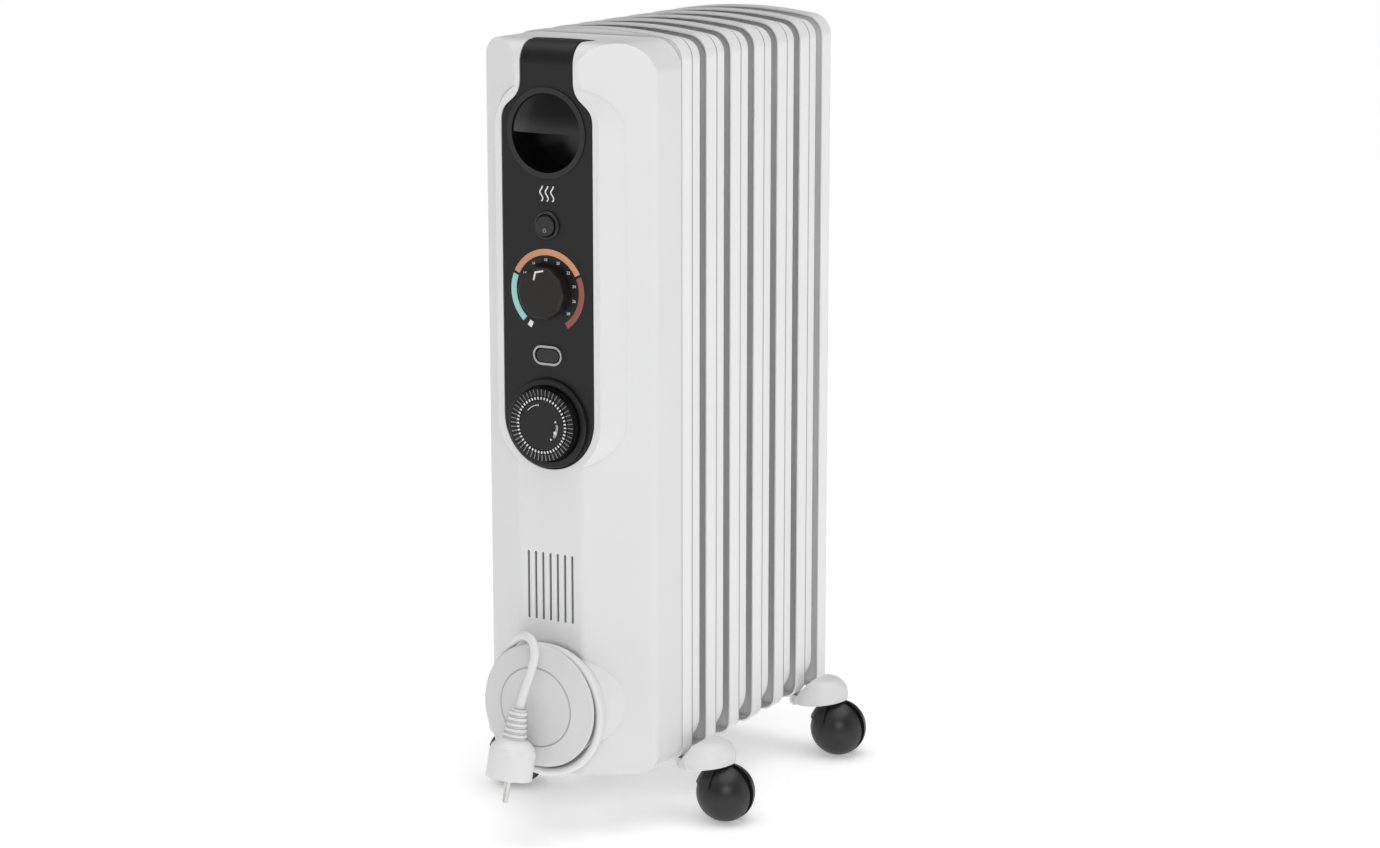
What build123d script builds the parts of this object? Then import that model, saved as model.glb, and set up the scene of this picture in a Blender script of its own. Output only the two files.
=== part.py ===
from build123d import *
import os
from math import cos, pi, radians, sin, sqrt, tan

# Oil filled radiator heater: seven oil fins in a row, a moulded casing with the controls on the
# front, four fold-out feet on ball castors, and a cord wound on a reel low on the front.
# Millimetres. +Z up, +Y to the rear, +X to the right as seen from the front. The origin is on the
# floor, below the middle of the heater's box. Distances called "proud" are in front of the casing.

os.makedirs("parts", exist_ok=True)

# ---------------------------------------------------------------- driving dimensions
front_y = -153.0            # front face of the casing
casing_depth = 76.2
fins_y = front_y + casing_depth
body_width = 156.0

fin_count = 7
fin_pitch = 40.1
fin_top = 645.0
fin_shoulder = 637.5        # height of the top edge at its outer ends, before the corner arc
fin_bottom = 50.0
fin_top_radius = 18.0
fin_bottom_radius = 12.0
rear_bottom_radius = 26.0   # the rear pan's lower corners are cut back further
sheet = 1.2                 # steel sheet of the fins
band = 15.3                 # wide front flange of a fin
seam = 2.6                  # narrow recess between the two pans of a fin
rear_band = 10.5            # narrower rear flange
channel_depth = 4.5
channel_xs = (-34, 0, 34)
seam_inset = 3.0
rear_inset = 2.6
last_web = 4.0              # depth of the sheets inside the last fin
cap_stand = 1.2             # how far the first fin's upper neck stands in front of it
flange_stand = 6.0          # the same for the flange on its lower neck
flange_radius = 26.0
neck_radius = 20.0
neck_bore = 17.0
header_low = 105.0
header_high = 590.0

casing_top = 640.0
casing_bottom = 52.0
casing_corner = 24.0
casing_low_corner = 14.0
casing_gap = 1.2            # open joint between the casing and the first fin
flat_half = 29.5            # half the width of the flat front face
bevel_back = 33.2           # how far the bevelled sides fall back to the casing's sides
top_edge = 17.0             # radius of the front top edge
bottom_edge = 8.0
boss_radius = 47.0          # foot of the reel, at the front face
field_top = 611.0
field_corner = 40.0
wall = 2.2
front_wall = 4.5

panel_half = 41.7
panel_low = 343.2           # centre of the panel's round lower end
panel_shoulder = 577.0
neck_half = 24.3            # half width of the strap that runs up over the top edge
strap_end = 33.0            # how far the strap runs back on the casing's top
panel_proud = 0.4
panel_sink = 2.0
panel_edge = 1.8            # bevel around the panel's face
margin = 5.8                # rim of the raised field around the panel
flank_draft = 30.0

grip_z = 569.5
grip_radius = 33.2
grip_depth = 38.0
bush_radius = 5.0
mark_z = 522.0
button_z = 497.0
button_radius = 8.25
button_travel = 2.0
thermostat_z = 444.8
knob_radius = 21.1
knob_height = 12.4
pointer_angle = 106.0
scale_outer = 33.6
scale_inner = 28.7
scale_zones = {"comfort": (28, 154), "warm": (-57, 24), "cool": (158, 228)}
mark_height = 0.2
wave_points = ((0, -6), (1, -3.6), (0, -1.2), (-1, 1.2), (0, 3.6), (0.8, 6))
knob_start = 0.8
shaft_radius = 3.0
rocker_pivot = 8.0          # depth of the rocker's pivot behind the casing's face
trunnion_radius = 1.5
lever_radius = 14.0
rocker_z = 393.7
timer_z = 339.3
dial_radius = 29.5
hub_radius = 20.3
stem_radius = 8.0
tappet_count = 96
lever_angle = -19.0

vent_count = 7
vent_pitch = 6.8
vent_width = 2.0
vent_low = 177.0
vent_high = 233.0

reel_z = 111.5
reel_radius = 51.0
drum_radius = 26.0
reel_gap = 17.0             # width of the winding space
reel_height = 26.1          # how far the disc's crown stands in front of the casing

cord_diameter = 7.0
coil_radius = 56.5
turn_radii = (30.0, 30.0, 40.0, 40.0, 53.0, 50.0)
gland_y = front_y - 9.0
gland_radius = 6.0
coil_z = 106.5              # the loose outer turns hang lower than the reel's centre
tail_points = [
    (-40.6, -165.1, 140.6),
    (-30.0, -167.0, 156.5),
    (-15.5, -173.5, 168.5),
    (-1.0, -181.0, 169.5),
    (5.5, -185.0, 159.5),
    (2.8, -186.8, 145.0),
    (-2.8, -189.0, 128.0),
    (-7.0, -191.0, 112.3),
]
plug_end = (-11.3, -200.8, 57.5)
relief_length = 24.0
plug_radius = 18.9
pin_radius = 2.4
pin_length = 19.0
pin_spread = 9.5
view_turn = 30.0            # the plug hangs turned by this angle about its cord

stem_x = 100.5
foot_rows = {"front": fins_y + 17.0, "rear": fins_y + 221.0}
ball_radius = 24.3
wheel_gap = 3.0             # half the space between the two half balls
trail = 8.5                 # all four castors trail to the right
axle_radius = 2.5
axle_z = sqrt(ball_radius**2 - wheel_gap**2)
dome_x = 93.5
dome_radius = 22.5
dome_wall = 1.6
dome_top = 67.0
toe_radius = 8.0            # the cover tapers inboard to its hinge
cover_rim = ((70.0, 43.0), (118.0, 49.5))   # the rim's height rises outboard
cover_face = ((68.0, 42.0), (90.5, 67.0))   # slanted face towards the fins
cover_low = 38.0
cover_gap = 0.9             # clearance between the covers and the fins
hinge_x = 70.0
hinge_z = 45.0
knuckle_radius = 4.5
pivot_radius = 2.5
tongue_half = 5.0
stem_bore = 4.05
bar_low = 46.5
bar_half = 66.0
on_floor = (Align.CENTER, Align.CENTER, Align.MIN)
running = 0.05              # radial clearance of a running fit


# ---------------------------------------------------------------- helpers
def facing_front(y):
    """Sketch plane at depth y, seen from the front: its normal points to the front."""
    return Plane.XZ.offset(-y)


def proud(distance):
    """Sketch plane that lies this far in front of the casing's face."""
    return facing_front(front_y - distance)


def save(piece, name):
    piece.part.label = name
    export_step(piece.part, f"parts/{name}.step")


# ---------------------------------------------------------------- fins
def fin_start(number):
    return fins_y + (number - 1) * fin_pitch


def fin_web(number):
    """Front of the fin's first sheet: behind the wide flange, or near the front of the last fin."""
    return fin_start(number) + (last_web if number == fin_count else band - sheet)


def fin_middle(number):
    return fin_web(number) + sheet + seam / 2


def neck_joint(number):
    """Depth where the necks of this fin and the next one meet."""
    return (fin_middle(number) + fin_middle(number + 1)) / 2


def fin_outline(inset, corner=fin_bottom_radius):
    """Front view of a fin: upright sides, small lower corners, gently crowned top edge."""
    half = body_width / 2 - inset
    low = fin_bottom + inset
    shoulder = fin_shoulder - inset
    with BuildSketch() as outline:
        with BuildLine():
            ThreePointArc((-half, shoulder), (0, fin_top - inset), (half, shoulder))
            Polyline((half, shoulder), (half, low), (-half, low), (-half, shoulder))
        make_face()
        fillet(outline.vertices().group_by(Axis.Y)[0], corner - inset / 2)
        fillet(outline.vertices().group_by(Axis.Y)[-1], fin_top_radius - inset)
    return outline.sketch


def outline_slab(y, depth, inset, mode=Mode.ADD, corner=fin_bottom_radius):
    with BuildSketch(facing_front(y)) as profile:
        add(fin_outline(inset, corner))
    extrude(profile.sketch, amount=-depth, mode=mode)


def oil_channels(y, depth, grow, mode=Mode.ADD):
    """Pressed channels about depth y: uprights that join the lower and the upper header."""
    with BuildSketch(facing_front(y)) as profile:
        with Locations(*[(x, (header_low + header_high) / 2) for x in channel_xs]):
            RectangleRounded(17 + 2 * grow, header_high - header_low + 30, 8 + grow)
        with Locations((0, header_low), (0, header_high)):
            RectangleRounded(92 + 2 * grow, 42 + 2 * grow, 18 + grow)
    extrude(profile.sketch, amount=depth, both=True, mode=mode)


def tube_y(x, z, radius, start, end, mode=Mode.ADD):
    """Cylinder along Y from depth start to depth end."""
    with BuildSketch(facing_front(start)) as profile:
        with Locations((x, z)):
            Circle(radius)
    extrude(profile.sketch, amount=start - end, mode=mode)


def build_fin(number):
    first = number == 1
    last = number == fin_count
    start = fin_start(number)
    web = fin_web(number)
    middle = fin_middle(number)
    back = web + sheet + seam
    front_end = start - cap_stand if first else neck_joint(number - 1)
    rear_end = middle if last else neck_joint(number)
    with BuildPart() as fin:
        outline_slab(start, band, 0)
        outline_slab(start, band, sheet, Mode.SUBTRACT)
        if not last:
            outline_slab(back, rear_band, rear_inset, corner=rear_bottom_radius)
            outline_slab(back, rear_band, rear_inset + sheet, Mode.SUBTRACT, rear_bottom_radius)
        outline_slab(web, sheet, sheet / 2)
        outline_slab(web + sheet, seam, seam_inset)
        if last:
            outline_slab(back, sheet, sheet / 2)
        else:
            outline_slab(back, sheet, rear_inset, corner=rear_bottom_radius)
        oil_channels(middle, seam / 2 + sheet + channel_depth, sheet)
        for z in (header_low, header_high):
            tube_y(0, z, neck_radius, front_end, rear_end)
        if first:
            tube_y(0, header_low, flange_radius, start - flange_stand, start - flange_stand + 3)
            tube_y(0, header_low, neck_radius, start - flange_stand, middle)
        outline_slab(web + sheet, seam, 9.0, Mode.SUBTRACT)
        oil_channels(middle, seam / 2 + channel_depth, 0, Mode.SUBTRACT)
        tube_y(0, header_low, neck_bore, front_end - 10, rear_end, Mode.SUBTRACT)
        bore_start = start + 2 if first else front_end
        tube_y(0, header_high, neck_bore, bore_start, rear_end, Mode.SUBTRACT)
    return fin


for number in range(1, fin_count + 1):
    save(build_fin(number), f"fin_{number}")


# ---------------------------------------------------------------- heating element
element_face = fins_y - flange_stand

def bolt_circle(depth, radius, length, mode=Mode.ADD):
    """Four round bolts or holes through the flange, from this depth to the front."""
    with BuildSketch(facing_front(depth)) as profile:
        with Locations((0, header_low)):
            with PolarLocations(flange_radius - 4.5, 4, 45):
                Circle(radius)
    extrude(profile.sketch, amount=length, mode=mode)


with BuildPart() as element_gasket:
    tube_y(0, header_low, flange_radius, element_face - 1.5, element_face)
    tube_y(0, header_low, neck_bore, element_face - 2, element_face + 1, Mode.SUBTRACT)
    bolt_circle(element_face, 2.2, 6, Mode.SUBTRACT)
save(element_gasket, "element_gasket")

with BuildPart() as element_flange:
    tube_y(0, header_low, flange_radius, element_face - 5.5, element_face - 1.5)
    bolt_circle(element_face, 2.2, 6, Mode.SUBTRACT)
save(element_flange, "element_flange")

with BuildPart() as flange_screws:
    bolt_circle(element_face, 2.0, 5.5)
    with BuildSketch(facing_front(element_face - 5.5)):
        with Locations((0, header_low)):
            with PolarLocations(flange_radius - 4.5, 4, 45):
                RegularPolygon(3.6, 6)
    extrude(amount=2.8)
save(flange_screws, "flange_screws")

element_tip = fin_middle(fin_count) - 18
with BuildPart() as heating_element:
    with BuildLine() as element_path:
        Line((0, element_face - 1.5, header_low + 7), (0, element_tip, header_low + 7))
        ThreePointArc(
            (0, element_tip, header_low + 7),
            (0, element_tip + 7, header_low),
            (0, element_tip, header_low - 7),
        )
        Line((0, element_tip, header_low - 7), (0, element_face - 1.5, header_low - 7))
    with BuildSketch(facing_front(element_face - 1.5)):
        with Locations((0, header_low + 7)):
            Circle(4.2)
    sweep()
    for z in (header_low + 7, header_low - 7):
        tube_y(0, z, 1.8, element_face - 14, element_face - 5.5)
save(heating_element, "heating_element")

filler_y = fin_middle(fin_count) + seam / 2 + sheet + channel_depth
with BuildPart() as oil_filler_plug:
    tube_y(0, header_low, 5.0, filler_y, filler_y + 1.2)
    with BuildSketch(facing_front(filler_y + 1.2)):
        with Locations((0, header_low)):
            RegularPolygon(4.2, 6)
    extrude(amount=-1.0)
save(oil_filler_plug, "oil_filler_plug")


# ---------------------------------------------------------------- casing
def front_profile(grow):
    """Plan view of the casing: flat front, bevelled sides. It runs on past the rear."""
    half = body_width / 2
    rear = fins_y + 30
    bevel_end = front_y + bevel_back
    with BuildSketch() as profile:
        with BuildLine():
            Polyline(
                (-half, rear), (-half, bevel_end), (-flat_half, front_y),
                (flat_half, front_y), (half, bevel_end), (half, rear), close=True,
            )
        make_face()
        corners = profile.vertices().group_by(Axis.Y)
        fillet(corners[0] + corners[1], 10)
        if grow:
            offset(amount=grow)
    return profile.sketch


def field_outline(grow):
    """Raised field around the panel: round below, with rounded shoulders above."""
    half = panel_half + margin + grow
    top = field_top + grow
    with BuildSketch() as field:
        with BuildLine():
            ThreePointArc((-half, panel_low), (0, panel_low - half), (half, panel_low))
            Polyline((half, panel_low), (half, top), (-half, top), (-half, panel_low))
        make_face()
        fillet(field.vertices().group_by(Axis.Y)[-1], field_corner)
    return field.sketch


def casing_form(grow, face_sink, rear):
    """Outer form of the casing, grown by grow, with its front sunk by face_sink more."""
    face = front_y - grow + face_sink
    height = casing_top - casing_bottom + 2 * grow
    with BuildPart() as form:
        with BuildSketch(Plane.XY):
            add(front_profile(grow))
        extrude(amount=casing_top + 100)
        with BuildSketch(facing_front(front_y - grow)):
            add(field_outline(grow))
            with Locations((0, reel_z)):
                Circle(boss_radius + grow)
        extrude(amount=-(bevel_back - 4), taper=-flank_draft)
        with BuildSketch(Plane.YZ) as side:
            with BuildLine():
                Polyline(
                    (face, casing_bottom - grow), (face, casing_top + grow),
                    (rear, casing_top + grow), (rear, casing_bottom - grow), close=True,
                )
            make_face()
            front_corners = side.vertices().group_by(Axis.X)[0].sort_by(Axis.Y)
            fillet(front_corners[-1], top_edge + grow)
            fillet(front_corners[0], bottom_edge + grow)
        extrude(amount=body_width, both=True, mode=Mode.INTERSECT)
        with BuildSketch(Plane.XZ) as outline:
            with Locations((0, (casing_top + casing_bottom) / 2)):
                Rectangle(body_width + 2 * grow, height)
            fillet(outline.vertices().group_by(Axis.Y)[0], casing_low_corner + grow)
            fillet(outline.vertices().group_by(Axis.Y)[-1], casing_corner + grow)
        extrude(amount=400, both=True, mode=Mode.INTERSECT)
    return form.part


def strap_line(shift):
    """Side view of the panel's skin: up the front and back over the top edge."""
    face = front_y - shift
    top = casing_top + shift
    with BuildSketch() as region:
        with BuildLine():
            Polyline((face, 200), (face, top), (front_y + 60, top), (front_y + 60, 200), close=True)
        make_face()
        fillet(region.vertices().group_by(Axis.X)[0].sort_by(Axis.Y)[-1], top_edge + shift)
    return region.sketch


def panel_outline(grow):
    """Front view of the panel: round lower end, shoulders that sweep in to the strap."""
    half = panel_half + grow
    neck = neck_half + grow
    top = casing_top + 20
    with BuildSketch() as outline:
        with BuildLine():
            ThreePointArc((-half, panel_low), (0, panel_low - half), (half, panel_low))
            for side in (-1, 1):
                Line((side * half, panel_low), (side * half, panel_shoulder))
                Bezier(
                    (side * half, panel_shoulder), (side * half, panel_shoulder + 19),
                    (side * neck, panel_shoulder + 13), (side * neck, panel_shoulder + 34),
                )
                Line((side * neck, panel_shoulder + 34), (side * neck, top))
            Line((-neck, top), (neck, top))
        make_face()
    return outline.sketch


def strap_outline(grow):
    """Plan view of the strap on the casing's top: it flares a little to a round end."""
    neck = neck_half + grow
    flare = neck + 5.5
    end = front_y + strap_end + grow
    with BuildSketch() as outline:
        with BuildLine():
            Line((-neck, front_y - 5), (neck, front_y - 5))
            for side in (-1, 1):
                Line((side * neck, front_y - 5), (side * neck, front_y + 10))
                Bezier(
                    (side * neck, front_y + 10), (side * neck, front_y + 18),
                    (side * (neck + 1), end - 9), (side * flare, end - 5),
                )
            ThreePointArc((-flare, end - 5), (0, end), (flare, end - 5))
        make_face()
    return outline.sketch


def panel_region(shift, grow):
    """The volume of the panel, with its face at shift in front of the casing's face."""
    with BuildPart() as front_part:
        with BuildSketch(Plane.YZ):
            add(strap_line(shift))
            add(strap_line(-panel_sink), mode=Mode.SUBTRACT)
        extrude(amount=60, both=True)
        with BuildSketch(facing_front(front_y + 10)):
            add(panel_outline(grow))
        extrude(amount=40, mode=Mode.INTERSECT)
    with BuildPart() as strap_part:
        with BuildSketch(Plane.YZ):
            add(strap_line(shift))
            add(strap_line(-panel_sink), mode=Mode.SUBTRACT)
        extrude(amount=60, both=True)
        with BuildSketch(Plane.XY.offset(panel_shoulder + 30)):
            add(strap_outline(grow))
        extrude(amount=80, mode=Mode.INTERSECT)
        add(front_part.part)
    return strap_part.part


def pill(length, height):
    with Locations((0, rocker_z)):
        SlotOverall(length, height)


def disc_at(z, radius):
    with Locations((0, z)):
        Circle(radius)


def through(depth):
    """Cuts the current sketch from well in front of the casing to this depth behind its face."""
    extrude(amount=depth + 10, both=True, mode=Mode.SUBTRACT)


with BuildPart() as front_casing:
    add(casing_form(0, 0, fins_y - casing_gap))
    add(casing_form(-wall, front_wall - wall, fins_y + 5), mode=Mode.SUBTRACT)
    add(panel_region(1.0, 0), mode=Mode.SUBTRACT)
    with BuildSketch(proud(0)):
        disc_at(grip_z, grip_radius)
        disc_at(button_z, button_radius + 1.2)
        disc_at(thermostat_z, bush_radius)
        disc_at(timer_z, stem_radius + 0.4)
        disc_at(reel_z, drum_radius - 6)
        pill(24.6, 13.4)
        with Locations((0, (vent_low + vent_high) / 2)):
            with GridLocations(vent_pitch, 0, vent_count, 1):
                SlotOverall(vent_high - vent_low, vent_width, rotation=90)
    through(front_wall)
save(front_casing, "front_casing")

with BuildPart() as mounting_plate:
    with BuildSketch(facing_front(fins_y - cap_stand)):
        with Locations((0, (casing_top + casing_bottom) / 2)):
            RectangleRounded(body_width - 7, casing_top - casing_bottom - 8, casing_corner - 3)
        with Locations((0, header_low)):
            Circle(flange_radius + 3, mode=Mode.SUBTRACT)
        with Locations((0, 348)):
            RectangleRounded(90, 330, 12, mode=Mode.SUBTRACT)
    extrude(amount=sheet)
save(mounting_plate, "mounting_plate")

plate_face = fins_y - cap_stand - sheet
with BuildPart() as casing_screws:
    for x in (-60, 60):
        for z in (150, 560):
            tube_y(x, z, 4.0, plate_face - 2.4, plate_face)
save(casing_screws, "casing_screws")

with BuildPart() as thermal_cutout:
    with BuildSketch(facing_front(plate_face)):
        with Locations((56, 330)):
            Circle(8.0)
    extrude(amount=6)
    with BuildSketch(facing_front(plate_face)):
        with Locations((56, 330)):
            SlotOverall(25, 8)
    extrude(amount=1.2)
save(thermal_cutout, "thermal_cutout")


# ---------------------------------------------------------------- panel and grip
with BuildPart() as control_panel:
    add(panel_region(panel_proud, 0))
    bend = control_panel.faces().filter_by(GeomType.CYLINDER).sort_by(SortBy.AREA)[-1]
    face = control_panel.faces().sort_by(Axis.Y)[0]
    cap = control_panel.faces().sort_by(Axis.Z)[-1]
    rim = ShapeList(face.edges() + bend.edges() + cap.edges()).filter_by(Axis.X, reverse=True)
    chamfer(rim, panel_edge)
    with BuildSketch(proud(0)):
        disc_at(grip_z, grip_radius)
        disc_at(button_z, button_radius + 0.4)
        disc_at(thermostat_z, bush_radius)
        disc_at(timer_z, stem_radius + 0.4)
        pill(23.4, 12.0)
    through(front_wall)
save(control_panel, "control_panel")

grip_plane = Plane(origin=(0, front_y, grip_z), x_dir=(1, 0, 0), z_dir=(0, -1, 0))
lip_height = 4.5
lip_sphere = ((grip_radius - 1.5) ** 2 + lip_height**2) / (2 * lip_height)
with BuildPart() as grip_lip:
    with Locations((0, front_y - lip_height + lip_sphere, grip_z)):
        Sphere(lip_sphere)
        Sphere(lip_sphere - 2.6, mode=Mode.SUBTRACT)
    with BuildSketch(grip_plane.offset(10)):
        Circle(grip_radius - 1.5)
        Rectangle(80, 80, align=(Align.CENTER, Align.MIN), mode=Mode.INTERSECT)
    extrude(amount=-20, mode=Mode.INTERSECT)

with BuildPart() as grip_cup:
    with BuildSketch(grip_plane.offset(-grip_depth)):
        Circle(grip_radius)
    extrude(amount=grip_depth + 1.4)
    with BuildSketch(grip_plane.offset(panel_proud)):
        Circle(grip_radius + 2.4)
    extrude(amount=1.0)
    with BuildSketch(grip_plane.offset(2 - grip_depth)):
        Circle(grip_radius - 2.0)
    extrude(amount=grip_depth + 10, mode=Mode.SUBTRACT)
    add(grip_lip.part)
save(grip_cup, "grip_cup")


# ---------------------------------------------------------------- marks on the panel
def arc_band(start, end):
    """Part of the thermostat's scale between two angles, anticlockwise from the right."""
    with BuildSketch() as sector:
        with BuildLine():
            outside = CenterArc((0, thermostat_z), scale_outer, start, end - start)
            inside = CenterArc((0, thermostat_z), scale_inner, start, end - start)
            Line(outside @ 0, inside @ 0)
            Line(outside @ 1, inside @ 1)
        make_face()
    return sector.sketch


def build_scale(start, end):
    with BuildPart() as scale:
        with BuildSketch(proud(panel_proud)):
            add(arc_band(start, end))
        extrude(amount=mark_height)
    return scale


for zone, (start, end) in scale_zones.items():
    save(build_scale(start, end), f"scale_{zone}")

with BuildPart() as panel_marks:
    with BuildSketch(proud(panel_proud)):
        add(arc_band(236, 243))
        for x in (-5, 0, 5):
            with BuildLine() as wave:
                Spline(*[(x + side * 1.3, mark_z + z) for side, z in wave_points])
            trace(wave.line, line_width=1.0)
    extrude(amount=mark_height)
save(panel_marks, "panel_marks")


# ---------------------------------------------------------------- controls
def ring(z, outer, inner, start, height):
    """Ring about the axis at height z, from start to start + height in front of the casing."""
    with BuildSketch(proud(start)) as profile:
        disc_at(z, outer)
        if inner:
            with Locations((0, z)):
                Circle(inner, mode=Mode.SUBTRACT)
    extrude(profile.sketch, amount=height)


def hollow(z, radius, start, depth):
    """Round pocket about the axis at height z, from start back to start - depth."""
    with BuildSketch(proud(start)) as profile:
        disc_at(z, radius)
    extrude(profile.sketch, amount=-depth, mode=Mode.SUBTRACT)


def switch_block(z, width, height, depth):
    """Block of a switch or a drive on the inner face of the casing's front."""
    with BuildSketch(proud(-front_wall)) as profile:
        with Locations((0, z)):
            RectangleRounded(width, height, 3)
    extrude(profile.sketch, amount=-depth)


with BuildPart() as button_collar:
    ring(button_z, 11.5, button_radius + 0.35, panel_proud, 2.0)
    chamfer(button_collar.edges().group_by(Axis.Y)[0], 0.6)
save(button_collar, "button_collar")

with BuildPart() as power_button:
    ring(button_z, button_radius, 0, -8.0, 12.4)
    fillet(power_button.edges().group_by(Axis.Y)[0], 1.0)
    ring(button_z, 11.0, 0, -6.4, 1.5)
save(power_button, "power_button")

with BuildPart() as button_switch:
    switch_block(button_z, 26, 26, 21.5)
    hollow(button_z, 12.0, 0, 12.0)
save(button_switch, "button_switch")

with BuildPart() as thermostat_knob:
    with BuildSketch(proud(knob_start)):
        with Locations((0, thermostat_z)):
            RegularPolygon(knob_radius, 10, rotation=pointer_angle)
            with PolarLocations(knob_radius - 4.5, 1, pointer_angle):
                RegularPolygon(6.6, 3)
    extrude(amount=knob_height - knob_start)
    chamfer(thermostat_knob.edges().group_by(Axis.Y)[0], 1.6)
    hollow(thermostat_z, shaft_radius, 8.0, 10.0)
save(thermostat_knob, "thermostat_knob")

with BuildPart() as thermostat_shaft:
    ring(thermostat_z, shaft_radius, 0, -22.0, 30.0)
save(thermostat_shaft, "thermostat_shaft")

with BuildPart() as thermostat_body:
    switch_block(thermostat_z, 40, 40, 25.5)
    ring(thermostat_z, bush_radius, 0, -front_wall, front_wall + panel_proud)
    hollow(thermostat_z, shaft_radius + running, 2.0, 24.4)
save(thermostat_body, "thermostat_body")

with BuildPart() as rocker_bezel:
    with BuildSketch(proud(panel_proud)):
        pill(26.3, 15.7)
        with Locations((0, rocker_z)):
            SlotOverall(23.4, 12.0, mode=Mode.SUBTRACT)
    extrude(amount=1.6)
save(rocker_bezel, "rocker_bezel")

with BuildPart() as rocker_switch:
    with BuildSketch(proud(-5.0)):
        pill(20.8, 11.3)
    extrude(amount=6.9)
    fillet(rocker_switch.edges().group_by(Axis.Y)[0], 0.8)
    with BuildSketch(proud(-10.0)):
        with Locations((0, rocker_z)):
            Rectangle(8, 10.8)
    extrude(amount=6.0)
    with Locations((0, front_y + rocker_pivot, rocker_z)):
        Cylinder(trunnion_radius, 14.8)
save(rocker_switch, "rocker_switch")

with BuildPart() as rocker_housing:
    switch_block(rocker_z, 30, 20, 21.5)
    with BuildSketch(proud(0)):
        with Locations((0, rocker_z)):
            Rectangle(24.6, 12.4)
    extrude(amount=-14, mode=Mode.SUBTRACT)
    with Locations((0, front_y + rocker_pivot, rocker_z)):
        Cylinder(trunnion_radius + running, 15.6, mode=Mode.SUBTRACT)
save(rocker_housing, "rocker_housing")


# ---------------------------------------------------------------- timer
with BuildPart() as timer_collar:
    ring(timer_z, 36.0, dial_radius + 0.8, panel_proud, 3.6)
    fillet(timer_collar.edges().group_by(Axis.Y)[0], 1.2)
save(timer_collar, "timer_collar")

with BuildPart() as timer_dial:
    ring(timer_z, dial_radius, stem_radius + running, 1.0, 7.0)
    ring(timer_z, 23.0, hub_radius + 0.4, 8.0, 3.6)
save(timer_dial, "timer_dial")

with BuildPart() as timer_tappets:
    ring(timer_z, 29.2, 23.4, 8.0, 0.5)
    with BuildSketch(proud(8.5)):
        with Locations((0, timer_z)):
            with PolarLocations(26.3, tappet_count):
                Rectangle(5.8, 1.1)
    extrude(amount=2.3)
save(timer_tappets, "timer_tappets")

with BuildPart() as timer_hub:
    ring(timer_z, stem_radius, 0, -front_wall, front_wall + 10.4)
    ring(timer_z, hub_radius, hub_radius - 1.5, 8.3, 2.1)
    ring(timer_z, hub_radius, 0, 10.4, 1.6)
    chamfer(timer_hub.edges().group_by(Axis.Y)[0], 0.5)
    with BuildSketch(proud(13)):
        with BuildLine() as lever_track:
            CenterArc((0, timer_z), lever_radius, lever_angle - 17, 38)
        SlotArc(lever_track.wire(), 3.2)
    extrude(amount=-2.6, mode=Mode.SUBTRACT)
save(timer_hub, "timer_hub")

with BuildPart() as timer_lever:
    ring(timer_z, 17.5, stem_radius + running, 8.4, 1.5)
    with BuildSketch(proud(8.4)):
        with Locations((0, timer_z)):
            with PolarLocations(lever_radius, 1, lever_angle):
                Circle(1.25)
    extrude(amount=4.6)
save(timer_lever, "timer_lever")

with BuildPart() as timer_motor:
    ring(timer_z, 28.0, 0, -30.0, 30.0 - front_wall)
save(timer_motor, "timer_motor")


# ---------------------------------------------------------------- cord reel
with BuildPart() as reel_drum:
    ring(reel_z, drum_radius, drum_radius - 3, 0, reel_gap)
    ring(reel_z, drum_radius, 0, 0, 2.5)
    ring(reel_z, 8.0, 0, 0, reel_gap)
    hollow(reel_z, 2.5, 20, 22)
    hollow(reel_z - 14, 4.0, 3, 4)
    with Locations((0, gland_y, reel_z - drum_radius)):
        Cylinder(gland_radius, 12, mode=Mode.SUBTRACT)
save(reel_drum, "reel_drum")

reel_plane = Plane(origin=(0, front_y, reel_z), x_dir=(1, 0, 0), z_dir=(0, 0, -1))
with BuildPart() as reel_disc:
    with BuildSketch(reel_plane):
        with BuildLine():
            Line((0, reel_gap), (reel_radius - 1.5, reel_gap))
            ThreePointArc(
                (reel_radius - 1.5, reel_gap),
                (reel_radius, reel_gap + 1.6),
                (reel_radius - 1.5, reel_gap + 3.6),
            )
            Polyline(
                (reel_radius - 1.5, reel_gap + 3.6), (33.5, 24.9), (32.5, 24.2),
                (31.7, 25.3), (12, reel_height), (0, reel_height), (0, reel_gap),
            )
        make_face()
    revolve(axis=Axis((0, front_y, reel_z), (0, -1, 0)))
    hollow(reel_z, 2.5, 22.5, 8)
save(reel_disc, "reel_disc")

with BuildPart() as reel_screw:
    ring(reel_z, 4.5, 0, -3.0, 3.0)
    ring(reel_z, 2.4, 0, 0, 22.0)
save(reel_screw, "reel_screw")

with BuildPart() as cord_gland:
    with Locations((0, gland_y, reel_z - drum_radius + 3.5)):
        Cylinder(gland_radius, 6)
        Cylinder(cord_diameter / 2, 8, mode=Mode.SUBTRACT)
save(cord_gland, "cord_gland")


# ---------------------------------------------------------------- cord
def bend_radii(points):
    """Largest radius that fits each bend of a run of points, with room for its neighbours."""
    runs = [Vector(*b) - Vector(*a) for a, b in zip(points, points[1:])]
    radii = []
    for before, after in zip(runs, runs[1:]):
        shorter = min(before.length, after.length)
        radii.append(0.45 * shorter / tan(radians(before.get_angle(after) / 2)))
    return radii


tail_radii = bend_radii(tail_points)
print("tail bend radii", [round(radius, 1) for radius in tail_radii])
with BuildPart() as cord_tail:
    with BuildLine() as tail_path:
        FilletPolyline(*tail_points, radius=tail_radii)
    with BuildSketch(Plane(origin=tail_path.line @ 0, z_dir=tail_path.line % 0)):
        Circle(cord_diameter / 2)
    sweep()
save(cord_tail, "cord_tail")

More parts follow.
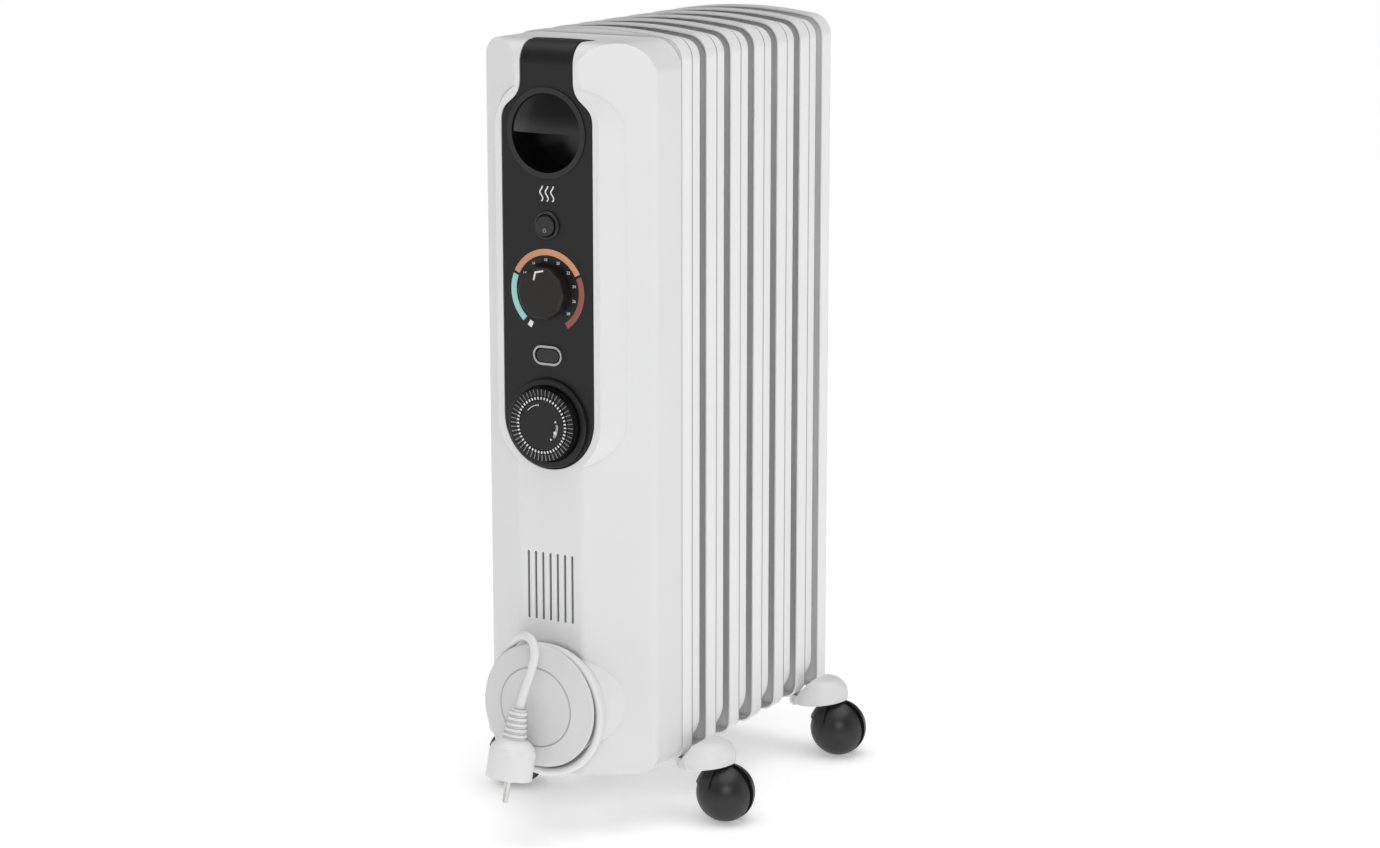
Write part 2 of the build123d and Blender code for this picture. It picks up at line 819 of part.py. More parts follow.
with BuildPart() as cord_coil:
    with BuildSketch(proud(1.2)):
        disc_at(coil_z, coil_radius)
        with Locations((0, reel_z)):
            Circle(drum_radius + 0.3, mode=Mode.SUBTRACT)
    extrude(amount=reel_gap - 2.4)
    add(cord_tail.part, mode=Mode.SUBTRACT)
save(cord_coil, "cord_coil")

tail_length = tail_path.wire().length
turn_length = 2 * pi * sum(turn_radii)
print("tail", round(tail_length, 1), "turns", round(turn_length, 1))
print("tube volume ratio", cord_tail.part.volume / (tail_length * pi * cord_diameter**2 / 4))


# ---------------------------------------------------------------- plug
plug_run = Vector(*plug_end) - Vector(*tail_points[-1])
plug_axis = plug_run.normalized()
view_side = Vector(cos(radians(view_turn)), sin(radians(view_turn)), 0)
plug_side = (view_side - plug_axis * view_side.dot(plug_axis)).normalized()
plug_plane = Plane(origin=tail_points[-1], x_dir=plug_side, z_dir=plug_axis)


def turned_about_plug(points):
    """Solid of revolution about the plug's axis from (radius, distance) points."""
    with BuildSketch(Plane(origin=plug_plane.origin, x_dir=plug_side, z_dir=-plug_plane.y_dir)) as turned:
        with BuildLine():
            Polyline(*points, close=True)
        make_face()
    revolve(turned.sketch, axis=Axis(plug_plane.origin, plug_axis))


with BuildPart() as plug_strain_relief:
    turned_about_plug([(0, 0), (6.0, 0), (9.0, relief_length), (0, relief_length)])
    for rib in range(5):
        with BuildSketch(plug_plane.offset(2 + 4.4 * rib)):
            Circle(7.2 + 0.55 * rib)
        extrude(amount=2.2)
    add(cord_tail.part, mode=Mode.SUBTRACT)
save(plug_strain_relief, "plug_strain_relief")

with BuildPart() as plug_body:
    turned_about_plug([
        (0, relief_length), (9.5, relief_length), (14.0, relief_length + 2.5),
        (17.5, relief_length + 6.5), (plug_radius, relief_length + 11),
        (plug_radius, plug_run.length), (0, plug_run.length),
    ])
    with BuildSketch(plug_plane.offset(plug_run.length)):
        with Locations((plug_radius, 0), (-plug_radius, 0)):
            Rectangle(7.0, 6.0)
    extrude(amount=-16, mode=Mode.SUBTRACT)
save(plug_body, "plug_body")

with BuildPart() as plug_pins:
    with BuildSketch(plug_plane.offset(plug_run.length)):
        with Locations((0, pin_spread), (0, -pin_spread)):
            Circle(pin_radius)
    extrude(amount=pin_length)
    fillet(plug_pins.edges().group_by(Axis(plug_plane.origin, plug_axis))[-1], 1.2)
save(plug_pins, "plug_pins")


# ---------------------------------------------------------------- feet
def cover_y(row_y):
    """Depth of the middle of a foot's cover and hinge, a little in front of its castor's stem."""
    return row_y - 1


with BuildPart() as foot_bars:
    for row_y in foot_rows.values():
        with BuildSketch(Plane.XY.offset(bar_low)):
            with Locations((0, row_y - 2)):
                Rectangle(2 * bar_half - 12, 26)
            with Locations((0, cover_y(row_y))):
                Rectangle(2 * bar_half, 2 * tongue_half)
        extrude(amount=fin_bottom - bar_low)
        for x in (-hinge_x, hinge_x):
            tube_y(x, hinge_z, knuckle_radius, cover_y(row_y) - tongue_half, cover_y(row_y) + tongue_half)
    for x in (-hinge_x, hinge_x):
        tube_y(x, hinge_z, pivot_radius, -200, 200, Mode.SUBTRACT)
save(foot_bars, "foot_bars")

with BuildPart() as foot_hinge_pins:
    for row_y in foot_rows.values():
        for x in (-hinge_x, hinge_x):
            tube_y(x, hinge_z, pivot_radius, cover_y(row_y) - toe_radius, cover_y(row_y) + toe_radius)
save(foot_hinge_pins, "foot_hinge_pins")


def cover_side(sign, row_y, points, mode=Mode.SUBTRACT):
    """Side shape of a cover, from (distance from the middle, height) points, along Y."""
    with BuildSketch(Plane.XZ.offset(-row_y)) as profile:
        Polygon(*[(sign * x, z) for x, z in points], align=None)
    extrude(profile.sketch, amount=30, both=True, mode=mode)


def build_foot(sign, row_y):
    """Cover over a castor: a dome that tapers to a hinge, cut to a slanted face by the fins."""
    middle = cover_y(row_y)
    (rim_in, rim_out), (face_low, face_high) = cover_rim, cover_face
    with BuildPart() as foot:
        with BuildSketch(Plane.XY.offset(cover_low)):
            with Locations((sign * dome_x, middle)):
                Circle(dome_radius)
            with Locations((sign * hinge_x, middle)):
                Circle(toe_radius)
            make_hull()
        extrude(amount=dome_top - cover_low)
        cover_side(sign, row_y, (face_low, face_high, (40, 67), (40, 42)))
        top_edges = foot.edges().group_by(Axis.Z)[-1]
        fillet(top_edges.filter_by(Axis.Y, reverse=True), 13)
        cover_side(sign, row_y, (rim_in, rim_out, (130, rim_out[1]), (130, 30), (40, 30), (40, rim_in[1])))
        with Locations((sign * dome_x, middle, cover_low)):
            Cylinder(dome_radius - dome_wall, 52.5 - cover_low, align=on_floor, mode=Mode.SUBTRACT)
        tube_y(sign * hinge_x, hinge_z, knuckle_radius, middle - toe_radius, middle + toe_radius)
        with Locations((sign * (hinge_x + 2), middle, 45)):
            Box(14, 2 * tongue_half + 0.7, 30, mode=Mode.SUBTRACT)
        tube_y(sign * hinge_x, hinge_z, pivot_radius + running, middle - 20, middle + 20, Mode.SUBTRACT)
        with Locations((sign * stem_x, row_y, 52)):
            Cylinder(stem_bore, 11, align=on_floor, mode=Mode.SUBTRACT)
        outline_slab(row_y - 30, 60, -cover_gap, Mode.SUBTRACT)
    return foot


def build_hood(sign, row_y):
    """Castor fork: quarter shell over the ball, web between the half balls, axle and stem."""
    ball_x = sign * stem_x + trail
    with BuildPart() as hood:
        with Locations((ball_x, row_y, axle_z)):
            Sphere(ball_radius + 1.6)
            Sphere(ball_radius + 0.5, mode=Mode.SUBTRACT)
        with Locations((ball_x - 3, row_y, axle_z + 9)):
            Box(60, 60, 60, align=(Align.MAX, Align.CENTER, Align.MIN), mode=Mode.INTERSECT)
        with BuildSketch(Plane.XZ.offset(-row_y)):
            with Locations((ball_x, axle_z)):
                Circle(ball_radius + 0.8)
            with Locations((ball_x + 6, axle_z - 6)):
                Rectangle(60, 60, align=(Align.MAX, Align.MIN), mode=Mode.INTERSECT)
        extrude(amount=2.6, both=True)
        tube_y(ball_x, axle_z, axle_radius, row_y - 20, row_y + 20)
        with Locations((sign * stem_x, row_y, 48.2)):
            Cylinder(4.0, 11.8, align=on_floor)
        with Locations((sign * stem_x, row_y, 48.8)):
            Cylinder(7.0, 3.4, align=on_floor)
    return hood


def build_wheel(sign, row_y):
    """Two half balls on one axle."""
    ball_x = sign * stem_x + trail
    with BuildPart() as wheel:
        with Locations((ball_x, row_y, axle_z)):
            Sphere(ball_radius)
            Box(60, 2 * wheel_gap, 60, mode=Mode.SUBTRACT)
        tube_y(ball_x, axle_z, axle_radius + running, row_y - 20.5, row_y + 20.5, Mode.SUBTRACT)
    return wheel


for row, row_y in foot_rows.items():
    for side, sign in (("left", -1), ("right", 1)):
        save(build_foot(sign, row_y), f"foot_{row}_{side}")
        save(build_hood(sign, row_y), f"castor_hood_{row}_{side}")
        save(build_wheel(sign, row_y), f"castor_ball_{row}_{side}")
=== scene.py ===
import bmesh
import bpy
from math import atan2, cos, degrees, radians, sin
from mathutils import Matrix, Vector


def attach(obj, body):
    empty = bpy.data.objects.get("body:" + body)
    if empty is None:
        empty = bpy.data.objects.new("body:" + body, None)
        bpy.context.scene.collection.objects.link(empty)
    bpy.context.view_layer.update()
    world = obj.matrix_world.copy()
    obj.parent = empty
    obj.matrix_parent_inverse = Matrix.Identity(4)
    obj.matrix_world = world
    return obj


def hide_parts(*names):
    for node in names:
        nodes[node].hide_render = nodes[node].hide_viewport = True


# Oil filled radiator heater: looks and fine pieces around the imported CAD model, in the CAD's frame.
# Blender takes metres. Sizes are in millimetres here, apart from the camera's, floor's and lights'.

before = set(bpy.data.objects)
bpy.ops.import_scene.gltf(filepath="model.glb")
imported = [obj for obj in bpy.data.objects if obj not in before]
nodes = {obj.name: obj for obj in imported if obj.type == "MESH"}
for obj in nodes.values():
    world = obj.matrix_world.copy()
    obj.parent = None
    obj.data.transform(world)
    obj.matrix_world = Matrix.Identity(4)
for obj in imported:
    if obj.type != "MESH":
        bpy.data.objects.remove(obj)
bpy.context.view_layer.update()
scene = bpy.context.scene
scene.view_settings.view_transform = "Standard"
MM = 0.001
MICRON = 0.000001

# ---------------------------------------------------------------- sizes that repeat the CAD's
front_y = -153.0  # front face of the casing
button_z = 497.0
thermostat_z = 444.8
timer_z = 339.3
reel_z = 111.5

panel_top = 0.45  # how far each printed face stands in front of the casing's
button_top = 4.4
tappet_top = 10.75
dial_collar_top = 11.6
hub_top = 12.0
knob_top = 12.4

fin_half_width = 78.0
fin_bottom = 50.0
fin_shoulder = 637.5
fin_top = 645.0
fin_top_radius = 18.0
fin_bottom_radius = 12.0
rear_bottom_radius = 26.0
fins_y = -76.8  # front of the first fin
fin_pitch = 40.1
paired_fins = 6  # every fin but the last has a second, narrower flange
front_flange = 15.3
rear_edge = 28.4

corner_names = [f"{row}_{side}" for row in ("front", "rear") for side in ("left", "right")]


def at(x, z, proud):
    """Point at x, z that lies this far in front of the casing's face."""
    return Vector((x, front_y - proud, z)) * MM


# ---------------------------------------------------------------- camera
def make_camera():
    """Camera at the photograph's place, which looks a little down."""
    data = bpy.data.cameras.new("camera")
    data.sensor_width = 36
    data.lens = 85.116
    data.clip_end = 50
    camera = bpy.data.objects.new("camera", data)
    camera.location = (1.33740, -2.29812, 0.87876)
    camera.rotation_euler = (radians(90 - 12.079), 0, radians(29.415))
    scene.collection.objects.link(camera)
    scene.camera = camera


make_camera()


# ---------------------------------------------------------------- materials
def principled(name, color, rough, metal=0.0, coat=0.0, spec=0.5):
    """New material with a Principled shader, and its node tree and shader."""
    material = bpy.data.materials.new(name)
    material.use_nodes = True
    tree = material.node_tree
    shader = tree.nodes["Principled BSDF"]
    shader.inputs["Base Color"].default_value = (*color, 1)
    shader.inputs["Roughness"].default_value = rough
    shader.inputs["Metallic"].default_value = metal
    shader.inputs["Coat Weight"].default_value = coat
    shader.inputs["Specular IOR Level"].default_value = spec
    return material, tree, shader


def noise(tree, scale, detail):
    """Noise on object coordinates; scale is per metre."""
    place = tree.nodes.new("ShaderNodeTexCoord")
    texture = tree.nodes.new("ShaderNodeTexNoise")
    texture.inputs["Scale"].default_value = scale
    texture.inputs["Detail"].default_value = detail
    tree.links.new(place.outputs["Object"], texture.inputs["Vector"])
    return texture.outputs["Fac"]


def tint(tree, shader, fac, low, high):
    """Base colour that runs from low to high with fac."""
    ramp = tree.nodes.new("ShaderNodeValToRGB")
    ramp.color_ramp.elements[0].position = 0.35
    ramp.color_ramp.elements[1].position = 0.65
    ramp.color_ramp.elements[0].color = (*low, 1)
    ramp.color_ramp.elements[1].color = (*high, 1)
    tree.links.new(fac, ramp.inputs["Fac"])
    tree.links.new(ramp.outputs["Color"], shader.inputs["Base Color"])


def vary_rough(tree, shader, fac, low, high):
    """Roughness that runs from low to high with fac."""
    spread = tree.nodes.new("ShaderNodeMapRange")
    spread.inputs["To Min"].default_value = low
    spread.inputs["To Max"].default_value = high
    tree.links.new(fac, spread.inputs["Value"])
    tree.links.new(spread.outputs["Result"], shader.inputs["Roughness"])


def bump(tree, shader, height, depth):
    """Fine relief of this depth, in microns."""
    node = tree.nodes.new("ShaderNodeBump")
    node.inputs["Strength"].default_value = 0.5
    node.inputs["Distance"].default_value = depth * MICRON
    tree.links.new(height, node.inputs["Height"])
    tree.links.new(node.outputs["Normal"], shader.inputs["Normal"])


def painted_crevice_shade(tree, shader, reach, darkest):
    """Painted shade: darkens the base colour where other surfaces lie closer than the reach, as shade
    falls in a crevice.
    """
    near = tree.nodes.new("ShaderNodeAmbientOcclusion")
    near.samples = 8
    near.inputs["Distance"].default_value = reach * MM
    spread = tree.nodes.new("ShaderNodeMapRange")
    spread.inputs["To Min"].default_value = darkest
    blend = tree.nodes.new("ShaderNodeVectorMath")
    blend.operation = "MULTIPLY"
    base = shader.inputs["Base Color"].links[0].from_socket
    tree.links.new(near.outputs["AO"], spread.inputs["Value"])
    tree.links.new(base, blend.inputs[0])
    tree.links.new(spread.outputs["Result"], blend.inputs[1])
    tree.links.new(blend.outputs["Vector"], shader.inputs["Base Color"])


def surface(name, color, rough, grain, depth, shade, crevice_shade=None, **more):
    """Moulded or painted surface.

    Its tone drifts slowly by the share shade. A fine grain, so many per metre, varies its
    roughness and its relief, which is so many microns deep. The last argument, a reach and a
    darkness, paints shade into the surface's crevices.
    """
    material, tree, shader = principled(name, color, rough, **more)
    slow = noise(tree, 14, 2)
    fine = noise(tree, grain, 4)
    tint(tree, shader, slow, [c * (1 - shade) for c in color], [min(1, c * (1 + shade)) for c in color])
    vary_rough(tree, shader, fine, rough * 0.85, rough * 1.15)
    bump(tree, shader, fine, depth)
    if crevice_shade:
        painted_crevice_shade(tree, shader, *crevice_shade)
    return material


def ink(name, color, shade):
    return surface(name, color, 0.5, 5000, 4, shade)


# Where a look ends in a tuple, that tuple is the reach and darkness of painted shade in its crevices.
looks = {
    "paint": surface("white_paint", (0.84, 0.84, 0.84), 0.32, 900, 4, 0.008, (4, 0.45), coat=0.15),
    # The grey of the fins' seam lines is painted shade of their groove.
    "seam_shade_look": surface("seam_shade_grey", (0.36, 0.36, 0.36), 0.5, 900, 4, 0.02),
    "casing": surface("casing_plastic", (0.76, 0.76, 0.762), 0.36, 1800, 4, 0.008, (4, 0.4)),
    "foot": surface("foot_plastic", (0.77, 0.77, 0.77), 0.38, 1800, 4, 0.01, (4, 0.5)),
    "reel": surface("reel_plastic", (0.68, 0.68, 0.683), 0.34, 1800, 4, 0.01, (3, 0.3)),
    "panel": surface("panel_satin", (0.013, 0.013, 0.014), 0.42, 3200, 10, 0.06, spec=0.28),
    "gloss": surface("gloss_black", (0.006, 0.006, 0.006), 0.24, 900, 3, 0.05),
    "button": surface("button_satin", (0.010, 0.010, 0.010), 0.35, 2600, 6, 0.08),
    "knob": surface("knob_plastic", (0.012, 0.009, 0.008), 0.44, 2600, 10, 0.08, spec=0.35),
    "dial": surface("dial_plastic", (0.010, 0.010, 0.010), 0.3, 2600, 10, 0.08, spec=0.3),
    "tappet": surface("tappet_plastic", (0.005, 0.005, 0.005), 0.3, 2000, 10, 0.1, spec=0.3),
    # The lighter grey of the tappets' tips is a painted highlight of their lit faces.
    "lit_tappet_grey": surface("lit_tappet_tips", (0.15, 0.15, 0.152), 0.3, 2000, 10, 0.2),
    "rim": surface("bright_rim", (0.38, 0.38, 0.385), 0.25, 900, 5, 0.05, metal=0.8),
    "white_print": ink("white_print", (0.80, 0.80, 0.79), 0.03),
    "grey_print": ink("grey_print", (0.30, 0.30, 0.30), 0.03),
    "teal_print": ink("teal_print", (0.33, 0.62, 0.585), 0.06),
    "orange_print": ink("orange_print", (0.68, 0.31, 0.17), 0.08),
    "brick_print": ink("brick_print", (0.30, 0.10, 0.07), 0.12),
    "castor": surface("castor_plastic", (0.012, 0.012, 0.013), 0.40, 1600, 20, 0.1),
    "cord": surface("cord_sheath", (0.78, 0.78, 0.78), 0.45, 1500, 10, 0.015, (6, 0.5)),
    "plug": surface("plug_plastic", (0.78, 0.78, 0.78), 0.4, 1500, 6, 0.01, (4, 0.25)),
    "steel": surface("plain_steel", (0.55, 0.55, 0.56), 0.35, 700, 20, 0.08, metal=1.0),
    "plated": surface("plated_steel", (0.62, 0.61, 0.60), 0.22, 900, 10, 0.06, metal=1.0),
    "element": surface("element_steel", (0.30, 0.27, 0.25), 0.45, 800, 40, 0.15, metal=1.0),
    "rubber": surface("gasket_rubber", (0.03, 0.03, 0.03), 0.7, 1400, 60, 0.1),
    "switch": surface("switch_plastic", (0.45, 0.45, 0.44), 0.5, 1800, 20, 0.05),
}

node_looks = {
    "paint": [f"fin_{n}" for n in range(1, 8)] + ["foot_bars"],
    "casing": ["front_casing"],
    "reel": ["reel_drum", "reel_disc"],
    "panel": ["control_panel"],
    "gloss": ["grip_cup"],
    "button": ["button_collar", "power_button", "rocker_switch"],
    "knob": ["thermostat_knob"],
    "dial": ["timer_collar", "timer_dial", "timer_hub"],
    "tappet": ["timer_tappets"],
    "rim": ["rocker_bezel"],
    "white_print": ["panel_marks", "timer_lever"],
    "teal_print": ["scale_cool"],
    "orange_print": ["scale_comfort"],
    "brick_print": ["scale_warm"],
    "cord": ["cord_gland", "cord_tail", "cord_coil"],
    "plug": ["plug_strain_relief", "plug_body"],
    "steel": ["mounting_plate", "element_flange", "foot_hinge_pins", "thermostat_shaft"],
    "plated": ["casing_screws", "flange_screws", "reel_screw", "oil_filler_plug", "plug_pins"],
    "element": ["heating_element"],
    "rubber": ["element_gasket"],
    "switch": ["button_switch", "thermostat_body", "rocker_housing", "timer_motor", "thermal_cutout"],
    "foot": [f"foot_{corner}" for corner in corner_names],
    "castor": [f"castor_{part}_{corner}" for part in ("hood", "ball") for corner in corner_names],
}


def give_look(obj, look):
    obj.data.materials.clear()
    obj.data.materials.append(looks[look])


for look, names in node_looks.items():
    for name in names:
        give_look(nodes[name], look)


# ---------------------------------------------------------------- making pieces
def piece(name, data, look, body, place=(0, 0, 0), turn=(0, 0, 0)):
    """New object of this mesh or curve, with its look, riding on its body."""
    obj = bpy.data.objects.new(name, data)
    obj.location = place
    obj.rotation_euler = turn
    scene.collection.objects.link(obj)
    give_look(obj, look)
    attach(obj, body)
    return obj


def mesh_of(name, build):
    """Mesh that build(bm) makes."""
    bm = bmesh.new()
    build(bm)
    bmesh.ops.recalc_face_normals(bm, faces=bm.faces)
    mesh = bpy.data.meshes.new(name)
    bm.to_mesh(mesh)
    bm.free()
    return mesh


def join_loops(bm, low, high):
    """Faces between two closed loops with as many points."""
    for i in range(len(low)):
        j = (i + 1) % len(low)
        bm.faces.new((low[i], low[j], high[j], high[i]))


def raised(bm, outline, proud, height):
    """Flat shape with this outline of x, z points, raised off a face."""
    low = [bm.verts.new(at(x, z, proud)) for x, z in outline]
    high = [bm.verts.new(at(x, z, proud + height)) for x, z in outline]
    bm.faces.new(low)
    bm.faces.new(high)
    join_loops(bm, low, high)


def polar(x, z, radius, angle):
    """Point at this radius and angle, in degrees, about x, z."""
    return x + radius * cos(radians(angle)), z + radius * sin(radians(angle))


def arc_points(x, z, radius, start, end, steps):
    return [polar(x, z, radius, start + (end - start) * i / steps) for i in range(steps + 1)]


def stroke(start, end, width):
    """Outline of a straight stroke between two points x, z."""
    (x0, z0), (x1, z1) = start, end
    length = ((x1 - x0) ** 2 + (z1 - z0) ** 2) ** 0.5
    nx, nz = (z0 - z1) / length * width / 2, (x1 - x0) / length * width / 2
    return [(x0 - nx, z0 - nz), (x1 - nx, z1 - nz), (x1 + nx, z1 + nz), (x0 + nx, z0 + nz)]


def spoke(z, angle, inner, outer, width):
    """Outline of a radial stroke about the panel's axis at height z."""
    return stroke(polar(0, z, inner, angle), polar(0, z, outer, angle), width)


def arc_strip(z, radius, width, start, end, steps):
    """Outline of a thin arc about the panel's axis at height z."""
    outer = arc_points(0, z, radius + width / 2, start, end, steps)
    inner = arc_points(0, z, radius - width / 2, start, end, steps)
    return outer + inner[::-1]


# ---------------------------------------------------------------- cord
cord_diameter = 7.0
winding_start = 0.08
turns = 6.361
steps_per_turn = 16
slack_radius = 37.3  # turns wider than this hang a little low, by most_sag from 50 mm up
slack_range = 12.7
most_sag = 5.0
gland_exit = (0, 89, 9.0)
gland_points = [gland_exit, (0, 84.5, 8.5), (-6, 81.6, 7.0)]  # x, z, distance in front of the casing
winding = [  # turn, radius, distance in front of the casing
    (0.08, 30.0, 5.5), (1.0, 30.0, 12.1), (1.35, 37.3, 12.1), (2.0, 37.3, 12.1),
    (2.35, 37.3, 4.9), (3.0, 37.3, 4.9), (3.35, 44.0, 12.1), (4.0, 44.0, 12.1),
    (4.35, 50.4, 4.9), (5.15, 50.4, 4.9), (5.65, 53.0, 12.1), (6.4, 53.0, 12.1),
]
tail_points = [  # x, y, z of the free end, from the reel to the plug
    (-40.6, -165.1, 140.6),
    (-30.0, -167.0, 156.5),
    (-15.5, -173.5, 168.5),
    (-1.0, -181.0, 169.5),
    (5.5, -185.0, 159.5),
    (2.8, -186.8, 145.0),
    (-2.8, -189.0, 128.0),
    (-7.0, -191.0, 112.3),
]


def wound(turn):
    """Point of the winding after this many turns from the gland, clockwise from the front."""
    for (t0, r0, d0), (t1, r1, d1) in zip(winding, winding[1:]):
        if t0 <= turn <= t1:
            share = (turn - t0) / (t1 - t0)
            radius, depth = r0 + (r1 - r0) * share, d0 + (d1 - d0) * share
    sag = most_sag * max(0.0, (radius - slack_radius) / slack_range)
    x, z = polar(0, reel_z - min(sag, most_sag), radius, 270 - 360 * turn)
    return at(x, z, depth)


def cord_points():
    """The whole route, from the gland through the winding to the plug."""
    wound_turns = turns - winding_start
    count = int(wound_turns * steps_per_turn)
    points = [at(*place) for place in gland_points]
    points += [wound(winding_start + wound_turns * i / count) for i in range(count)]
    return points + [Vector(place) * MM for place in tail_points]


def make_cord():
    curve = bpy.data.curves.new("cord", "CURVE")
    curve.dimensions = "3D"
    points = cord_points()
    spline = curve.splines.new("NURBS")
    spline.points.add(len(points) - 1)
    for point, place in zip(spline.points, points):
        point.co = (*place, 1)
    spline.order_u = 3
    spline.use_endpoint_u = True
    spline.resolution_u = 6
    curve.bevel_depth = cord_diameter / 2 * MM
    curve.bevel_resolution = 5
    curve.use_fill_caps = True
    obj = piece("cord", curve, "cord", "heater")
    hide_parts("cord_coil", "cord_tail")


make_cord()


# ---------------------------------------------------------------- hems of the fins; painted shade at their seams and in the casing's joint
def fin_outline(inset, low_corner):
    """Outline of a fin from the front, this far inside its edge, with lower corners of this radius."""
    half = fin_half_width - inset
    low = fin_bottom + inset
    top = fin_top - inset
    rise = fin_top - fin_shoulder
    crown = (half**2 + rise**2) / (2 * rise)
    crown_z = top - crown
    corner = fin_top_radius - inset
    corner_x = half - corner
    corner_z = crown_z + ((crown - corner) ** 2 - corner_x**2) ** 0.5
    lean = degrees(atan2(corner_z - crown_z, corner_x))
    right = arc_points(half - low_corner, low + low_corner, low_corner, -90, 0, 8)
    right += arc_points(corner_x, corner_z, corner, 0, lean, 8)
    right += arc_points(0, crown_z, crown, lean, 90, 8)[1:-1]
    return right + [(0, top)] + [(-x, z) for x, z in reversed(right)]


def outline_ring(bm, inset, width, low_corner, start, end):
    """Band along a fin's outline from depth start to depth end."""
    loops = []
    for edge, y in ((inset, start), (inset, end), (inset + width, end), (inset + width, start)):
        outline = fin_outline(edge, low_corner - (edge - inset) / 2)
        loops.append([bm.verts.new(Vector((x, y, z)) * MM) for x, z in outline])
    for low, high in zip(loops, loops[1:] + loops[:1]):
        join_loops(bm, low, high)


def fin_hems(bm):
    """Folded hem behind the narrow flange of each fin but the last."""
    for i in range(paired_fins):
        start = fins_y + i * fin_pitch + rear_edge
        outline_ring(bm, 3.0, 1.6, rear_bottom_radius, start - 0.1, start + 5.0)


def fin_seam_shade(bm):
    """Grey line at the joint between the two pans of each fin but the last: painted shade of the groove
    at the seam.
    """
    for i in range(paired_fins):
        start = fins_y + i * fin_pitch + front_flange
        outline_ring(bm, 0.5, 1.6, fin_bottom_radius, start + 0.1, start + 2.5)


def casing_joint_shade(bm):
    """Thin ring in the open joint between the casing and the first fin, a sheet there only to show the
    joint's painted shade.
    """
    outline_ring(bm, 0.9, 5.0, fin_bottom_radius, fins_y - 0.95, fins_y - 0.25)


piece("fin_hems", mesh_of("fin_hems", fin_hems), "paint", "heater")
piece("fin_seam_shade", mesh_of("fin_seam_shade", fin_seam_shade), "seam_shade_look", "heater")
# Ring in the casing's joint: painted shade.
piece("casing_joint_shade", mesh_of("casing_joint_shade", casing_joint_shade), "paint", "heater")


# ---------------------------------------------------------------- prints on the panel and its knobs
timer_steps = 48
step_angle = 360 / timer_steps
thin_print = 0.08


def knob_mark(bm):
    """White angle near the knob's rim that shows the setting."""
    x, z = polar(0, thermostat_z, 17.0, 103)
    raised(bm, stroke((x, z), (x + 7.4, z + 1.6), 1.3), knob_top, 0.12)
    raised(bm, stroke((x + 0.2, z + 0.6), (x - 1.6, z - 6.2), 1.3), knob_top, 0.1)


def timer_dots(bm):
    """One dot for each half hour, on the dial's collar."""
    for i in range(timer_steps):
        raised(bm, spoke(timer_z, step_angle * i, 20.8, 22.9, 1.1), dial_collar_top, 0.1)


def lit_tappet_tips(bm):
    """Tips of the tappets in a lighter grey, a painted highlight of their lit faces: every other one.
    """
    for i in range(timer_steps):
        raised(bm, spoke(timer_z, step_angle * i, 23.8, 28.8, 1.1), tappet_top, 0.35)


def hub_prints(bm):
    """Arc with its tick, and a pair of ticks beyond each end of the lever's slot."""
    raised(bm, arc_strip(timer_z, 16.6, 0.5, 100, 138, 12), hub_top, thin_print)
    raised(bm, spoke(timer_z, 98.5, 15.6, 17.4, 0.5), hub_top, thin_print)
    for angle in (15, 18.5, -47.5, -51):
        raised(bm, spoke(timer_z, angle, 13.0, 14.8, 0.5), hub_top, thin_print)


def button_mark(bm):
    """Standby mark low on the button."""
    z = button_z - 3.6
    raised(bm, arc_strip(z, 1.3, 0.45, -240, 60, 16), button_top, 0.06)
    raised(bm, stroke((0, z + 0.5), (0, z + 1.9), 0.45), button_top, 0.06)


piece("knob_mark", mesh_of("knob_mark", knob_mark), "white_print", "thermostat")
piece("timer_dots", mesh_of("timer_dots", timer_dots), "white_print", "timer_dial")
# Tappet tips: painted highlight.
piece("lit_tappet_tips", mesh_of("lit_tappet_tips", lit_tappet_tips), "lit_tappet_grey", "timer_dial")
piece("hub_prints", mesh_of("hub_prints", hub_prints), "white_print", "heater")
piece("button_mark", mesh_of("button_mark", button_mark), "grey_print", "power_button")


def number(text, angle):
    """Small printed number beside the thermostat's scale."""
    name = f"number_{text}"
    curve = bpy.data.curves.new(name, "FONT")
    curve.body = text
    curve.size = 3.3 * MM
    curve.align_x = "CENTER"
    curve.align_y = "CENTER"
    curve.extrude = 0.04 * MM
    place = at(*polar(0, thermostat_z, 24.9, angle), panel_top)
    piece(name, curve, "white_print", "heater", place, (radians(90), 0, 0))


for i in range(8):
    number(str(14 + 2 * i), 148 - 27 * i)


# ---------------------------------------------------------------- studio
floor_half = 30
floor_glow = 0.3
room_light = 0.14
sun_light = 2.0


def floor_face(bm):
    corners = ((-1, -1), (1, -1), (1, 1), (-1, 1))
    bm.faces.new([bm.verts.new((x * floor_half, y * floor_half, 0)) for x, y in corners])


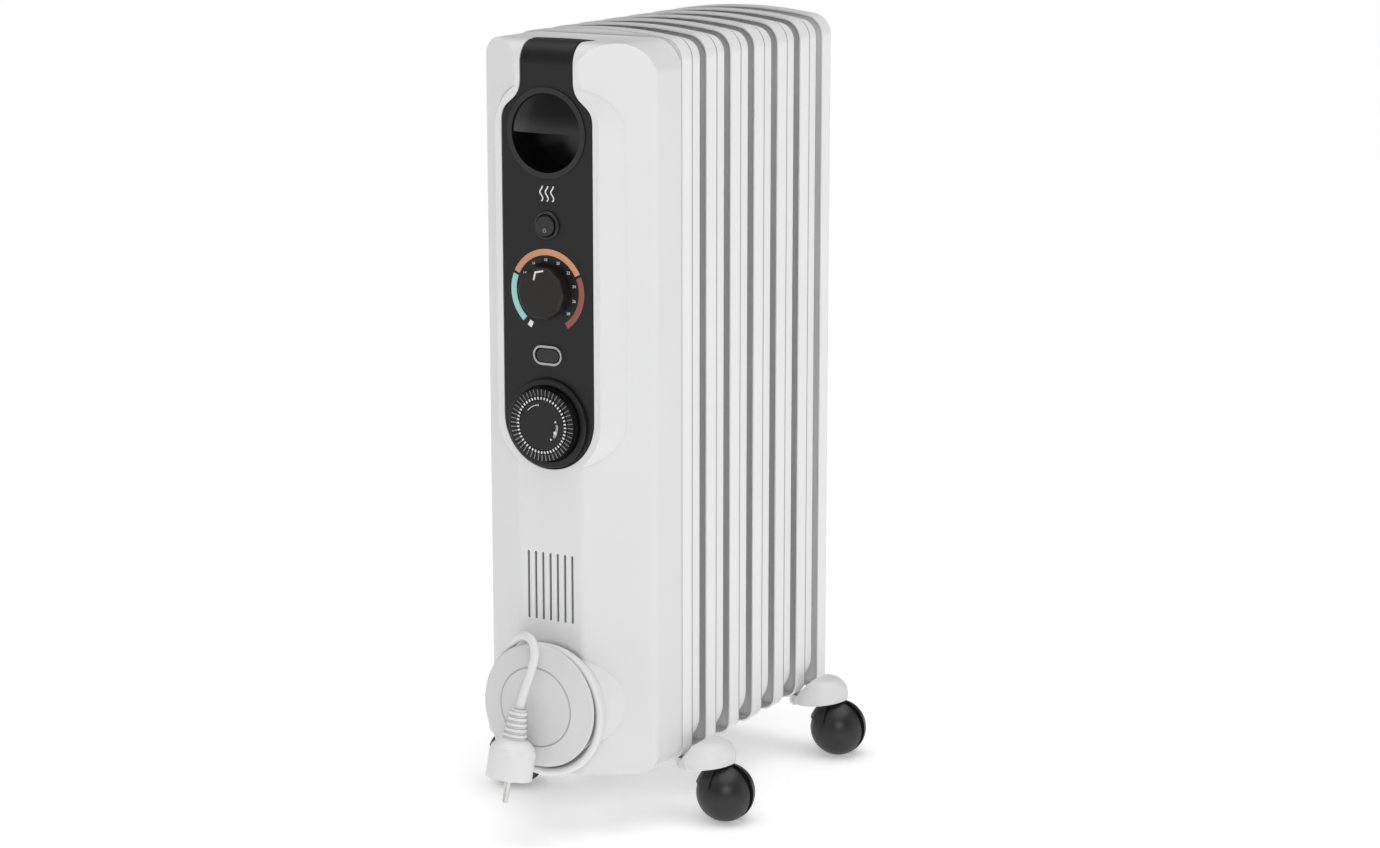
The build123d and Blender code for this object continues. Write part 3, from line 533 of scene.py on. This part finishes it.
def make_floor():
    """Wide white floor. It glows a little, so it stays white while the heater's shadow still shows."""
    floor = bpy.data.objects.new("floor", mesh_of("floor", floor_face))
    scene.collection.objects.link(floor)
    material, tree, shader = principled("floor_white", (0.9, 0.9, 0.9), 0.9, spec=0.0)
    tint(tree, shader, noise(tree, 3, 3), (0.89, 0.89, 0.89), (0.91, 0.91, 0.91))
    shader.inputs["Emission Color"].default_value = (1, 1, 1, 1)
    shader.inputs["Emission Strength"].default_value = floor_glow
    floor.data.materials.append(material)


def white_light(node, strength):
    """Output of this Background node, set to white."""
    node.inputs["Color"].default_value = (1, 1, 1, 1)
    node.inputs["Strength"].default_value = strength
    return node.outputs[0]


def make_world():
    """Dim even room light, which the camera sees as pure white."""
    world = bpy.data.worlds.new("studio")
    world.use_nodes = True
    tree = world.node_tree
    path = tree.nodes.new("ShaderNodeLightPath")
    mix = tree.nodes.new("ShaderNodeMixShader")
    tree.links.new(path.outputs["Is Camera Ray"], mix.inputs[0])
    tree.links.new(white_light(tree.nodes["Background"], room_light), mix.inputs[1])
    tree.links.new(white_light(tree.nodes.new("ShaderNodeBackground"), 1.0), mix.inputs[2])
    tree.links.new(mix.outputs[0], tree.nodes["World Output"].inputs["Surface"])
    scene.world = world


def lamp(name, kind, place, energy):
    """New light object, and its settings."""
    data = bpy.data.lights.new(name, kind)
    data.energy = energy
    light = bpy.data.objects.new(name, data)
    light.location = place
    scene.collection.objects.link(light)
    return light, data


def make_sun():
    """Very soft light from straight above."""
    data = lamp("overhead", "SUN", (0, 0, 3), sun_light)[1]
    data.angle = radians(70)


def area_light(name, place, target, size, power):
    """Soft oval light that faces its target."""
    light, data = lamp(name, "AREA", place, power)
    data.shape = "ELLIPSE"
    data.size, data.size_y = size
    aim = Vector(target) - Vector(place)
    light.rotation_euler = aim.to_track_quat("-Z", "Y").to_euler()


make_floor()
make_world()
make_sun()
area_light("right", (3.2, 1.0, 1.2), (0, 0, 0.35), (2.4, 2.6), 15)
area_light("left", (-2.6, -1.4, 1.1), (0, -0.1, 0.35), (2.0, 2.4), 6)
area_light("front", (1.6, -2.5, 1.4), (0, 0, 0.35), (1.2, 1.2), 23)
